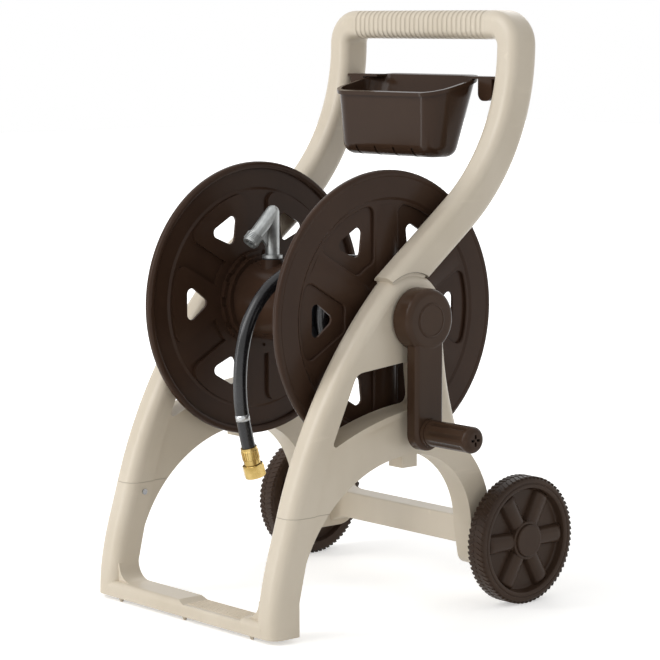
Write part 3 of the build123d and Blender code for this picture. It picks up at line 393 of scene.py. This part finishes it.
def pressed(name, node, cuts, push, body, finishName, slot):
    shape = bmesh.new()
    shape.from_mesh(nodes[node].data)
    bmesh.ops.remove_doubles(shape, verts=shape.verts, dist=weld)
    for place, normal in cuts:
        whole = shape.verts[:] + shape.edges[:] + shape.faces[:]
        bmesh.ops.bisect_plane(shape, geom=whole, dist=pressing["cut"], plane_co=place, plane_no=normal)
    for vert in shape.verts:
        vert.co += push(vert.co)
    data = bpy.data.meshes.new(name)
    shape.to_mesh(data)
    shape.free()
    data.materials.clear()
    if "custom_normal" in data.attributes:
        data.attributes.remove(data.attributes["custom_normal"])
    for face in data.polygons:
        face.use_smooth = True
    data.set_sharp_from_angle(angle=radians(pressing["sharp"]))
    return addPiece(name, data, body, finishName, slot, node)


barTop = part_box("handle")[1]
barAxis = Vector((0, barTop.y - ribs["section"][0], barTop.z - ribs["section"][1]))
# a groove lies where the shading's wave is lowest, a quarter of a pitch before each whole one
most = round(2 * handleBar["half"] / handleBar["pitch"])
grooves = [(index - 0.25) * handleBar["pitch"] for index in range(-most, most + 1)]
grooves = [x for x in grooves if abs(x - reelCentre.x) < handleBar["half"] - ribs["profile"][-1][0]]
grooveLoops = {x + shift: share for x in grooves for shift, share in ribs["profile"]}


def pushGroove(place):
    share = max((share for x, share in grooveLoops.items() if abs(x - place.x) < weld), default=0)
    if not share or place.z < barTop.z - handleBar["thick"]:
        return Vector()
    away = Vector((0, place.y - barAxis.y, place.z - barAxis.z))
    core = [half - ribs["round"] for half in ribs["section"]]
    away -= Vector((0, max(-core[0], min(core[0], away.y)), max(-core[1], min(core[1], away.z))))
    return away.normalized() * -ribs["depth"] * share


grooveCuts = [(Vector((x, 0, 0)), Vector((1, 0, 0))) for x in grooveLoops]
pressed("handleRibbed", "handle", grooveCuts, pushGroove, "frame", "beigeHandle", "beige_plastic")


def eased(share):
    share = max(0, min(1, share))
    return share**2 * (3 - 2 * share)


def pushFlute(place):
    away = Vector((0, place.y - gripCentre.y, place.z - gripCentre.z))
    if abs(away.length - flutePress["radius"]) > flutePress["near"]:
        return Vector()
    reach = eased(min(place.x - gripBox[0].x, gripBox[1].x - place.x) / gripFlutes["margin"] - 1)
    wave = sin(atan2(away.z, away.y) * gripFlutes["count"]) * 0.5 + 0.5
    hollow = 1 - eased(wave / gripFlutes["crest"])
    return away.normalized() * (-gripFlutes["depth"] * hollow * reach)


fluteCuts = []
for index in range(flutePress["cuts"]):
    turn = pi * index / flutePress["cuts"]
    fluteCuts.append((gripCentre, Vector((0, -sin(turn), cos(turn)))))
for index in range(flutePress["fade"] + 1):
    inset = gripFlutes["margin"] * (1 + index / flutePress["fade"])
    fluteCuts.append((Vector((gripBox[0].x + inset, 0, 0)), Vector((1, 0, 0))))
    fluteCuts.append((Vector((gripBox[1].x - inset, 0, 0)), Vector((1, 0, 0))))
pressed("gripFluted", "crank_grip", fluteCuts, pushFlute, "grip", "gripBrown", "brown_grip")
print("handle ribs and grip flutes pressed")


# hose: turns round the drum, then a free end that hangs in front of it
hose = {
    "diameter": 21, "coilRadius": 75, "turns": 2.35, "pitch": 30, "leaveAngle": 95, "leaveX": 45,
    "hiddenRun": 40, "leaveRun": 21, "lead": 35, "pointsPerTurn": 18, "length": 1.564,
    "tail": ((40, -106, 59), (40, -147, 32), (40, -176, -9), (40, -189, -57), (40, -192, -107),
             (41, -188, -156), (44, -171.5, -221)),
}


def coilPoint(angle, radius):
    turn = radians(angle)
    return Vector((hose["leaveX"] + hose["pitch"] * (hose["leaveAngle"] - angle) / 360,
                   radius * cos(turn), radius * sin(turn)))


def coilHeading(angle):
    turn = radians(angle)
    radius = hose["coilRadius"]
    return Vector((-hose["pitch"] / tau, -radius * sin(turn), radius * cos(turn))).normalized()


def hosePoints():
    step = 360 / hose["pointsPerTurn"]
    firstAngle = hose["leaveAngle"] - 360 * hose["turns"]
    count = round(hose["turns"] * hose["pointsPerTurn"])
    swell = hose["coilRadius"] / cos(radians(step / 2))  # the spline runs inside its own points
    start = coilPoint(firstAngle, hose["coilRadius"])
    points = [start - coilHeading(firstAngle) * hose["hiddenRun"]]
    for index in range(count):
        points.append(coilPoint(firstAngle + 360 * hose["turns"] * (index + 0.5) / count, swell))
    leave = coilPoint(hose["leaveAngle"], hose["coilRadius"])
    heading = coilHeading(hose["leaveAngle"])
    points.append(leave + heading * (hose["leaveRun"] + hose["lead"]))
    points += [Vector(place) for place in hose["tail"]]
    return [spot(*point) for point in points]


def makeHose():
    points = hosePoints()
    curve = bpy.data.curves.new("leaderHose", "CURVE")
    curve.dimensions = "3D"
    curve.resolution_u = 8
    spline = curve.splines.new("NURBS")
    spline.points.add(len(points) - 1)
    for knot, point in zip(spline.points, points):
        knot.co = (*point, 1)
    spline.order_u = 3
    spline.use_endpoint_u = True
    curve.materials.append(materials["hoseBlack"])
    piece = bpy.data.objects.new("leaderHose", curve)
    scene.collection.objects.link(piece)
    line = bpy.data.meshes.new_from_object(piece.evaluated_get(bpy.context.evaluated_depsgraph_get()))
    path = [vertex.co.copy() for vertex in line.vertices]
    bpy.data.meshes.remove(line)
    curve.bevel_depth = hose["diameter"] / 2000
    curve.bevel_resolution = 7
    curve.use_fill_caps = True
    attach(piece, "frame")
    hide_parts("leader_hose_winding", "leader_hose_tail")
    return piece, path


leaderHose, hosePath = makeHose()

# the plain band printed round the hose, its ends measured back from the hanging end
band = {"start": 0.062, "stop": 0.083, "lift": 0.00005, "wall": 0.00025, "sides": 40}


# a round sleeve on a stretch of the hose's own line
def sleeveOnHose(name, sleeve, finishName, slot):
    radius = hose["diameter"] / 2000 + sleeve["lift"]
    sides = sleeve["sides"]
    gone = 0
    stretch = []
    for near, far in zip(hosePath[::-1], hosePath[-2::-1]):
        if sleeve["start"] <= gone <= sleeve["stop"]:
            stretch.append((near, (far - near).normalized()))
        gone += (far - near).length
    mesh = bmesh.new()
    rings = []
    for place, heading in stretch:
        across = heading.cross(Vector((1, 0, 0))).normalized()
        other = heading.cross(across)
        turns = [tau * side / sides for side in range(sides)]
        spokes = [across * cos(turn) + other * sin(turn) for turn in turns]
        rings.append([mesh.verts.new(place + spoke * radius) for spoke in spokes])
    for low, high in zip(rings, rings[1:]):
        for side in range(sides):
            mesh.faces.new((low[side], low[side - 1], high[side - 1], high[side]))
    bmesh.ops.recalc_face_normals(mesh, faces=mesh.faces)
    data = bpy.data.meshes.new(name)
    mesh.to_mesh(data)
    mesh.free()
    for face in data.polygons:
        face.use_smooth = True
    piece = addPiece(name, data, "frame", finishName, slot)
    thicken = piece.modifiers.new("wall", "SOLIDIFY")
    thicken.thickness = sleeve["wall"]
    thicken.offset = 1
    return piece


hoseBand = sleeveOnHose("hoseBand", band, "bandSilver", "hose_rubber")
print("hose laid,", len(hosePath), "points")


def meshFrom(name, verts, faces):
    shape = bmesh.new()
    made = [shape.verts.new(vert) for vert in verts]
    for face in faces:
        shape.faces.new([made[index] for index in face])
    bmesh.ops.remove_doubles(shape, verts=shape.verts, dist=weld)
    bmesh.ops.recalc_face_normals(shape, faces=shape.faces)
    data = bpy.data.meshes.new(name)
    shape.to_mesh(data)
    shape.free()
    for face in data.polygons:
        face.use_smooth = True
    return data


# a closed section of (along X, radius) turned round the X axis
def turned(section, steps, centre=Vector()):
    count = len(section)
    verts = []
    for step in range(steps):
        turn = tau * step / steps
        verts += [centre + Vector((x, radius * cos(turn), radius * sin(turn))) for x, radius in section]
    faces = []
    for step in range(steps):
        here, there = step * count, (step + 1) % steps * count
        for index in range(count):
            after = (index + 1) % count
            faces.append((here + index, here + after, there + after, there + index))
    return verts, faces


# rounds the corners of a section, each by its own radius
def rounded(corners, pieces):
    out = []
    count = len(corners)
    for index, (x, y, radius) in enumerate(corners):
        here = Vector((x, y))
        before = Vector(corners[index - 1][:2])
        after = Vector(corners[(index + 1) % count][:2])
        if radius <= 0:
            out.append((x, y))
            continue
        start = here + (before - here).normalized() * radius
        end = here + (after - here).normalized() * radius
        for piece in range(pieces + 1):
            share = piece / pieces
            point = start * (1 - share) ** 2 + here * 2 * share * (1 - share) + end * share**2
            out.append((point.x, point.y))
    return out


# a tree with named inputs for its sizes; links are made by giving a node's socket as the value of another's input
class Maker:
    def __init__(self, name, **sizes):
        self.tree = bpy.data.node_groups.new(name, "GeometryNodeTree")
        self.sizes = sizes
        kinds = {int: "NodeSocketInt", float: "NodeSocketFloat", tuple: "NodeSocketVector"}
        for label, value in sizes.items():
            self.tree.interface.new_socket(label, in_out="INPUT", socket_type=kinds[type(value)])
        self.tree.interface.new_socket("Geometry", in_out="OUTPUT", socket_type="NodeSocketGeometry")
        self.given = self.tree.nodes.new("NodeGroupInput").outputs

    def add(self, kind, settings=None, sockets=None):
        node = self.tree.nodes.new(kind)
        for key, value in (settings or {}).items():
            setattr(node, key, value)
        for key, value in (sockets or {}).items():
            if isinstance(value, bpy.types.NodeSocket):
                self.tree.links.new(value, node.inputs[key])
            else:
                node.inputs[key].default_value = value
        return node

    def sum(self, operation, first, second):
        return self.add("ShaderNodeMath", {"operation": operation}, {0: first, 1: second}).outputs[0]

    # realises the instances, sets the material and gives back a plain mesh
    def mesh(self, shape, material):
        real = self.add("GeometryNodeRealizeInstances", sockets={0: shape})
        dressed = self.add("GeometryNodeSetMaterial", sockets={0: real.outputs[0], "Material": material})
        out = self.tree.nodes.new("NodeGroupOutput")
        self.tree.links.new(dressed.outputs[0], out.inputs[0])
        holder = bpy.data.objects.new(self.tree.name, bpy.data.meshes.new(self.tree.name))
        scene.collection.objects.link(holder)
        modifier = holder.modifiers.new("maker", "NODES")
        modifier.node_group = self.tree
        for item in self.tree.interface.items_tree:
            if item.in_out == "INPUT":
                modifier[item.identifier] = self.sizes[item.name]
        graph = bpy.context.evaluated_depsgraph_get()
        mesh = bpy.data.meshes.new_from_object(holder.evaluated_get(graph))
        bpy.data.objects.remove(holder)
        mesh.name = self.tree.name
        return mesh


# a block's half diagonals, for a foot one unit wide
blockShape = {"top": 0.56, "foot": 0.7071}


# blocks set in a ring round the X axis, each tapered and slanted
def blockRing(name, material, count, radius, along, block, slant, phase):
    maker = Maker(name, Count=count, Radius=radius, Along=along, Block=block, Slant=slant, Phase=phase)
    given = maker.given
    points = maker.add("GeometryNodeMeshLine", sockets={"Count": given["Count"]})
    index = maker.add("GeometryNodeInputIndex").outputs[0]
    share = maker.sum("DIVIDE", maker.sum("ADD", index, given["Phase"]), given["Count"])
    angle = maker.sum("MULTIPLY", share, tau)
    y = maker.sum("MULTIPLY", maker.sum("COSINE", angle, 0.0), given["Radius"])
    z = maker.sum("MULTIPLY", maker.sum("SINE", angle, 0.0), given["Radius"])
    place = maker.add("ShaderNodeCombineXYZ", sockets={"X": given["Along"], "Y": y, "Z": z})
    moved = maker.add("GeometryNodeSetPosition", sockets={
        "Geometry": points.outputs[0], "Position": place.outputs[0]})
    cone = maker.add("GeometryNodeMeshCone", sockets={
        "Vertices": 4, "Radius Top": blockShape["top"], "Radius Bottom": blockShape["foot"], "Depth": 1.0})
    square = maker.add("GeometryNodeTransform", sockets={
        "Geometry": cone.outputs["Mesh"], "Rotation": (0, 0, pi / 4), "Translation": (0, 0, -1.0)})
    sized = maker.add("GeometryNodeTransform", sockets={
        "Geometry": square.outputs[0], "Scale": given["Block"]})
    lean = maker.add("ShaderNodeCombineXYZ", sockets={"Z": given["Slant"]})
    leaning = maker.add("GeometryNodeTransform", sockets={
        "Geometry": sized.outputs[0], "Rotation": lean.outputs[0]})
    facing = maker.add("ShaderNodeCombineXYZ", sockets={"X": maker.sum("SUBTRACT", angle, pi / 2)})
    laid = maker.add("GeometryNodeInstanceOnPoints", sockets={
        "Points": moved.outputs[0], "Instance": leaning.outputs[0], "Rotation": facing.outputs[0]})
    return maker.mesh(laid.outputs[0], material)


# threads: the plain end is turned down on a copy of the node, and the ridge is wound on it
threads = {
    "outer": 0.0134, "root": 0.0118, "pitch": 0.0027, "ridge": 0.0012, "steps": 40, "sides": 6,
    "runOut": 0.005, "lead": 0.0015, "near": 4e-5, "slack": 1e-5,
}


# a screw thread's ridge along +Z
def threadRidge(name, material, turns):
    radius = threads["outer"] - threads["ridge"]
    maker = Maker(name, Radius=radius, Height=threads["pitch"] * turns, Turns=turns, Ridge=threads["ridge"])
    given = maker.given
    spiral = maker.add("GeometryNodeCurveSpiral", sockets={
        "Resolution": threads["steps"], "Rotations": given["Turns"], "Start Radius": given["Radius"],
        "End Radius": given["Radius"], "Height": given["Height"]})
    section = maker.add("GeometryNodeCurvePrimitiveCircle", sockets={
        "Resolution": threads["sides"], "Radius": given["Ridge"]})
    swept = maker.add("GeometryNodeCurveToMesh", sockets={
        "Curve": spiral.outputs[0], "Profile Curve": section.outputs[0], "Fill Caps": True})
    return maker.mesh(swept.outputs[0], material)


# wheels: a tyre with a stepped side, a sunk web, domed spokes and rows of slanted blocks
wheel = {
    "radius": 0.1, "width": 0.034, "band": 0.019, "web": 0.006, "recess": 0.014, "hub": 0.030,
    "bore": 0.00645, "capPocket": 0.0252, "capSeat": 0.0052, "steps": 96,
    "round": 0.002, "fineRound": 0.0006, "mouthRound": 0.003, "roundPieces": 4, "shoulder": 0.004,
    "mouthOut": 0.001, "mouthIn": 0.002, "groove": (0.0085, 0.0094, 0.0104, 0.0113), "grooveDepth": 0.0012,
}
wheelSpoke = {
    "count": 6, "width": 0.029, "flare": 0.12, "sink": 0.0004, "below": 0.0006, "tuck": 0.003, "reach": 0.001,
    "fall": 0.1, "fadeFrom": 0.82, "bulge": 2.4, "long": 14, "wide": 14,
}
lug = {
    "count": 70, "height": 0.0013, "below": 0.0003, "root": 0.0006, "length": 0.0150, "width": 0.0056,
    "shift": 0.0088, "slant": 0.42,
}


def wheelSection():
    width, base = wheel["width"], wheel["radius"] - lug["height"]
    hub, bore, pocket = wheel["hub"], wheel["bore"], wheel["capPocket"]
    inside = wheel["radius"] - wheel["band"]
    face = width - wheel["recess"]
    back, floor, seat = face - wheel["web"], width - wheel["grooveDepth"], width - wheel["capSeat"]
    soft, fine, mouth = wheel["round"], wheel["fineRound"], wheel["mouthRound"]
    edge = wheel["shoulder"]
    drops = [base - drop for drop in wheel["groove"]]
    return rounded([
        (0, bore, 0), (0, hub, soft), (back, hub, soft), (back, inside, soft), (0, inside, soft),
        (0, base - edge, soft), (edge, base, soft), (width - edge, base, soft), (width, base - edge, soft),
        (width, drops[0], fine), (floor, drops[1], fine), (floor, drops[2], fine), (width, drops[3], fine),
        (width, inside + wheel["mouthOut"], mouth), (face, inside - wheel["mouthIn"], mouth),
        (face, hub, soft), (width, hub, soft), (width, pocket, fine), (seat, pocket, 0), (seat, bore, 0),
    ], wheel["roundPieces"])


def wheelMesh(sign, centre):
    verts, faces = turned(wheelSection(), wheel["steps"])
    face = wheel["width"] - wheel["recess"] - wheelSpoke["sink"]
    near = wheel["hub"] - wheelSpoke["tuck"]
    far = wheel["radius"] - wheel["band"] + wheelSpoke["reach"]
    long, wide = wheelSpoke["long"], wheelSpoke["wide"]
    for spoke in range(wheelSpoke["count"]):
        turn = tau * spoke / wheelSpoke["count"]
        out = Vector((0, cos(turn), sin(turn)))
        side = Vector((0, -sin(turn), cos(turn)))
        start = len(verts)
        for step in range(long + 1):
            share = step / long
            radius = near + (far - near) * share
            fade = max(0.0, (share - wheelSpoke["fadeFrom"]) / (1 - wheelSpoke["fadeFrom"]))
            fall = (1 - min(1.0, fade) ** 2) ** 0.5 * (1 - wheelSpoke["fall"] * share)
            height = (wheel["recess"] - wheelSpoke["below"]) * fall
            half = wheelSpoke["width"] / 2 * (1 + wheelSpoke["flare"] * share)
            for strip in range(wide + 1):
                lean = 2 * strip / wide - 1
                rise = height * (1 - abs(lean) ** wheelSpoke["bulge"]) ** 0.5
                verts.append(Vector((face + rise, 0, 0)) + out * radius + side * (lean * half))
        for step in range(long):
            for strip in range(wide):
                corner = start + step * (wide + 1) + strip
                faces.append((corner, corner + 1, corner + wide + 2, corner + wide + 1))
    flipped = [Vector((vert.x * sign, vert.y, vert.z)) + centre for vert in verts]
    return meshFrom("wheelMesh", flipped, faces)


for side, sign in (("left", -1), ("right", 1)):
    low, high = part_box(f"wheel_{side}")
    inner = Vector((high.x if sign < 0 else low.x, axleCentre.y, axleCentre.z))
    wheelPiece = addPiece(f"wheel{side.title()}", wheelMesh(sign, inner), f"wheel_{side}",
                          "wheelBrown", "wheel_plastic", f"wheel_{side}")
    soft = wheelPiece.modifiers.new("edges", "WEIGHTED_NORMAL")
    soft.keep_sharp = True
    middle = wheel["width"] / 2
    crown = wheel["radius"] - lug["below"]
    block = (lug["length"], lug["width"], lug["height"] + lug["root"])
    lugMeshes = []
    for way, phase in ((-1, 0.0), (1, 0.5)):
        lugMeshes.append(blockRing(
            f"treadBlocks{side.title()}", materials["wheelBrown"], lug["count"], crown,
            (middle + lug["shift"] * way) * sign, block, -lug["slant"] * way, phase))
    joined = bmesh.new()
    for data in lugMeshes:
        joined.from_mesh(data)
        bpy.data.meshes.remove(data)
    tread = bpy.data.meshes.new(f"tread{side.title()}")
    joined.to_mesh(tread)
    joined.free()
    tread.transform(Matrix.Translation(inner))
    addPiece(f"tread{side.title()}", tread, f"wheel_{side}", "wheelBrown", "wheel_plastic")
print("wheels made")


def cutThread(name, node, tip, heading, length, body, finishName, slot):
    shape = bmesh.new()
    shape.from_mesh(nodes[node].data)
    bmesh.ops.remove_doubles(shape, verts=shape.verts, dist=weld)
    for vert in shape.verts:
        along = (vert.co - tip).dot(heading)
        axis = tip + heading * along
        away = vert.co - axis
        threaded = -length - threads["slack"] < along < threads["slack"]
        if threaded and abs(away.length - threads["outer"]) < threads["near"]:
            vert.co = axis + away.normalized() * threads["root"]
    data = bpy.data.meshes.new(name)
    shape.to_mesh(data)
    shape.free()
    data.materials.clear()
    addPiece(name, data, body, finishName, slot, node)
    turns = (length - threads["runOut"]) / threads["pitch"]
    ridge = threadRidge(f"{name}Thread", materials[finishName], turns)
    start = tip - heading * (length - threads["lead"])
    ridge.transform(Matrix.Translation(start) @ heading.to_track_quat("Z", "Y").to_matrix().to_4x4())
    addPiece(f"{name}Thread", ridge, body, finishName, slot)


mounts = {mount["name"]: mount for mount in frame["record"]["mounts"]}
threadedEnds = (
    ("outlet", "outlet_gooseneck", "outlet_thread", "reel"),
    ("inlet", "inlet_swivel", "inlet_thread", "inlet"),
)
for name, node, mountName, body in threadedEnds:
    heading = Vector(mounts[mountName]["axis"]).normalized()
    length = mounts[mountName]["dims"]["length_mm"] / 1000
    tip = Vector(mounts[mountName]["pos_m"]) + heading * length / 2
    cutThread(name, node, tip, heading, length, body, "castMetal", "cast_metal")

# brass ferrule with flutes all round
ferrule = {
    "radius": 0.0126, "length": 0.024, "flutes": 22, "rise": 0.0007,
    "share": 0.72, "fluteWidth": 0.0022, "fluteDepth": 0.0016,
}
tailHeading = (Vector(hose["tail"][-1]) - Vector(hose["tail"][-2])).normalized()
tailEnd = spot(*hose["tail"][-1])
fluteBlock = (ferrule["length"] * ferrule["share"], ferrule["fluteWidth"], ferrule["fluteDepth"])
fluteRadius = ferrule["radius"] + ferrule["rise"]
flutes = blockRing("ferruleFlutes", materials["brass"], ferrule["flutes"],
                   fluteRadius, 0.0, fluteBlock, 0.0, 0.0)
sleeveMiddle = tailEnd - tailHeading * ferrule["length"] / 2
alongTail = tailHeading.to_track_quat("X", "Z").to_matrix().to_4x4()
flutes.transform(Matrix.Translation(sleeveMiddle) @ alongTail)
addPiece("ferruleFlutes", flutes, "frame", "brass", "brass")
print("threads and flutes made")

# a raised bead on the face of the crank's cap
bead = {"radius": 0.0235, "thick": 0.0011, "flat": 0.8, "sides": 10, "steps": 72}
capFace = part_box("crank_cap")[1].x - reelCentre.x
section = []
for step in range(bead["sides"]):
    turn = tau * step / bead["sides"]
    along = capFace + bead["thick"] * cos(turn) * bead["flat"]
    section.append((along, bead["radius"] + bead["thick"] * sin(turn)))
beadMesh = meshFrom("crankBead", *turned(section, bead["steps"], reelCentre))
addPiece("crankBead", beadMesh, "reel", "crankBrown", "brown_plastic")
print("crank bead made")


# studio: a pale floor that turns to white for the camera, a broad soft key, a fill, a rim and a narrow strip
studio = {
    "floor": (244, 243, 240), "floorPale": (248, 247, 245), "floorHalf": 14, "floorRough": 0.9,
    "glow": 0.45, "near": 0.5, "far": 3.2, "aim": (0, 0, 0.45),
    "world": 0.50, "key": 50, "fill": 5, "rim": 14, "strip": 16,
}


# 1 for the rays that show the background: from the camera, and those that mirrors and glass send on
def shownRays(tree):
    rays = tree.nodes.new("ShaderNodeLightPath")
    share = rays.outputs["Is Camera Ray"]
    for kind in ("Is Glossy Ray", "Is Transmission Ray"):
        either = tree.nodes.new("ShaderNodeMath")
        either.operation = "MAXIMUM"
        tree.links.new(share, either.inputs[0])
        tree.links.new(rays.outputs[kind], either.inputs[1])
        share = either.outputs[0]
    return share


def makeStudio():
    half = studio["floorHalf"]
    corners = [(-half, -half, 0), (half, -half, 0), (half, half, 0), (-half, half, 0)]
    data = bpy.data.meshes.new("floor")
    data.from_pydata(corners, [], [(0, 1, 2, 3)])
    floor = bpy.data.objects.new("floor", data)
    scene.collection.objects.link(floor)
    finish = Finish("floorPale", Emission_Strength=1.0)
    x, y, _ = finish.axes()
    away = finish.smooth((x**2 + y**2) ** 0.5, studio["near"], studio["far"])
    glow = Level(finish, shownRays(finish.tree)) * (away * (1 - studio["glow"]) + studio["glow"])
    finish.feed(finish.shader.inputs["Emission Color"], finish.mix(glow, (0, 0, 0, 1), (1, 1, 1, 1)))
    cloud = finish.noise(2, 2)
    colour = finish.mix(cloud, linear(*studio["floor"]), linear(*studio["floorPale"]))
    finish.coat(colour, studio["floorRough"])
    data.materials.append(finish.material)
    world = bpy.data.worlds.new("studio")
    world.use_nodes = True
    tree = world.node_tree
    tree.nodes.clear()
    plain = tree.nodes.new("ShaderNodeBackground")
    plain.inputs["Strength"].default_value = studio["world"]
    shown = tree.nodes.new("ShaderNodeBackground")
    blend = tree.nodes.new("ShaderNodeMixShader")
    out = tree.nodes.new("ShaderNodeOutputWorld")
    for background in (plain, shown):
        background.inputs["Color"].default_value = (1, 1, 1, 1)
    tree.links.new(shownRays(tree), blend.inputs[0])
    tree.links.new(plain.outputs[0], blend.inputs[1])
    tree.links.new(shown.outputs[0], blend.inputs[2])
    tree.links.new(blend.outputs[0], out.inputs[0])
    scene.world = world
    lamps = (
        ("key", (-0.6, -2.6, 2.6), (2.2, 2.2), studio["key"]),
        ("fill", (2.8, -0.4, 1.5), (2.0, 2.0), studio["fill"]),
        ("rim", (-1.2, 2.4, 2.2), (1.6, 1.6), studio["rim"]),
        ("strip", (-1.5, -2.7, 1.0), (0.4, 1.9), studio["strip"]),
    )
    for name, place, (wide, high), power in lamps:
        lamp = bpy.data.lights.new(name, "AREA")
        lamp.shape = "RECTANGLE"
        lamp.size = wide
        lamp.size_y = high
        lamp.energy = power
        holder = bpy.data.objects.new(name, lamp)
        holder.location = place
        holder.rotation_mode = "QUATERNION"
        holder.rotation_quaternion = (Vector(studio["aim"]) - Vector(place)).to_track_quat("-Z", "Y")
        scene.collection.objects.link(holder)


makeStudio()
print("studio lit")
